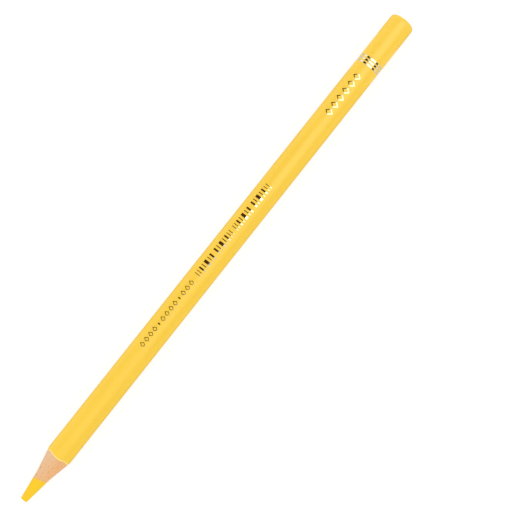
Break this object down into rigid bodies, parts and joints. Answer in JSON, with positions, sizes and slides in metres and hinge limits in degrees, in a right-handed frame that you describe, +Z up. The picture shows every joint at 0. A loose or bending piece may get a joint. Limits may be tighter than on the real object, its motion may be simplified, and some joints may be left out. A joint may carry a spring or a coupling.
{
  "type": "coloured pencil",
  "caption": "Round wood-cased coloured pencil in yellow lacquer, sharpened to a blunt core, with foil rings and plain foil ornament below a rounded dipped end.",
  "frame": {"origin": "on the surface that the pencil lies on, under the middle of its length", "axes": "+X along the pencil from the writing tip to the dipped rear end, +Z up, +Y to the left when looking from the tip to the rear end"},
  "size_m": [0.175, 0.0076, 0.0076],
  "materials": {
    "pigment": "waxy pigmented core",
    "glue": "dried glue film",
    "limewood": "bare cut wood",
    "primer": "matt primer",
    "lacquer": "satin lacquer",
    "foil": "hot-stamped mirror foil"
  },
  "bodies": {
    "root": {"pigment_core": "pigment", "core_glue": "glue", "upper_slat": "limewood", "lower_slat": "limewood", "seam_glue_left": "glue", "seam_glue_right": "glue", "primer_coat": "primer", "colour_coat": "lacquer", "end_dip": "lacquer", "foil_ring_1": "foil", "foil_ring_2": "foil", "foil_ring_3": "foil", "name_foil": "foil", "bar_foil": "foil", "code_foil": "foil", "title_foil": "foil", "emblem_foil": "foil"}
  },
  "joints": []
}
